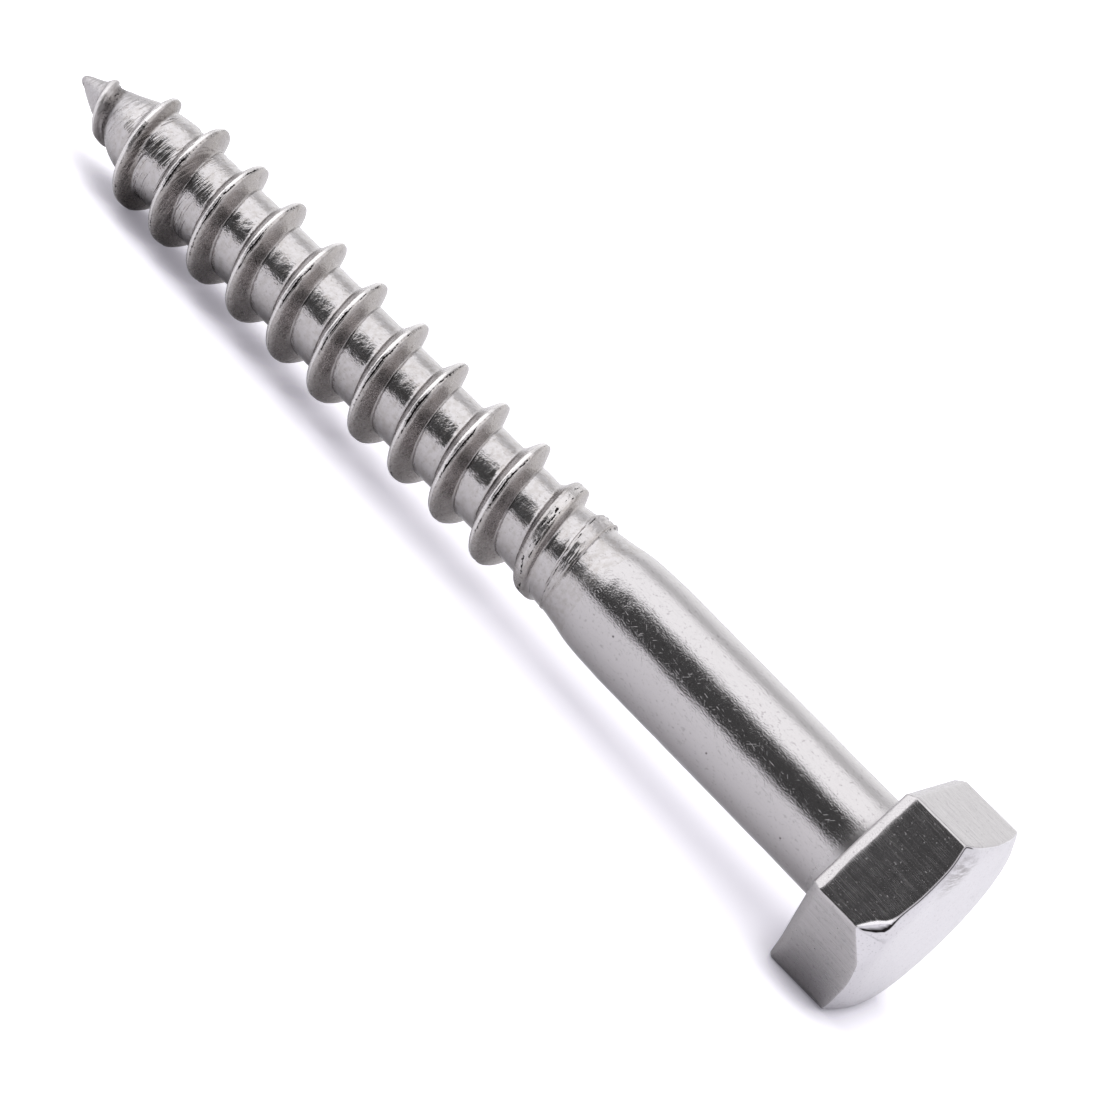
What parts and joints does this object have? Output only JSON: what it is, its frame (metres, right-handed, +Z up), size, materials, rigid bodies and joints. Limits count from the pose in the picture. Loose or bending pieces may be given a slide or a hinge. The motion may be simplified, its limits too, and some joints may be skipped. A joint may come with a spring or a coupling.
{
  "type": "lag screw",
  "caption": "Hexagon head wood screw with a plain shank, a shoulder and a coarse right-hand thread running out to a blunt cone point.",
  "frame": {"origin": "centre of the bearing face under the head, on the screw's axis", "axes": "+Z up from the floor that the screw lies on; +X along the screw towards its head, seen from above; the point is towards -X. The screw's own axis is tilted tip down by 2.38 degrees, as it lies at rest on one flat of the head and the first full turn of the thread"},
  "size_m": [0.0744, 0.015, 0.0132],
  "materials": {
    "stainless_steel": "bare cold-forged and thread-rolled stainless steel: satin with fine drawing lines, dull bruises on the shank and rolling laps on the thread"
  },
  "bodies": {
    "root": {"lag_screw": "stainless_steel"}
  },
  "joints": []
}
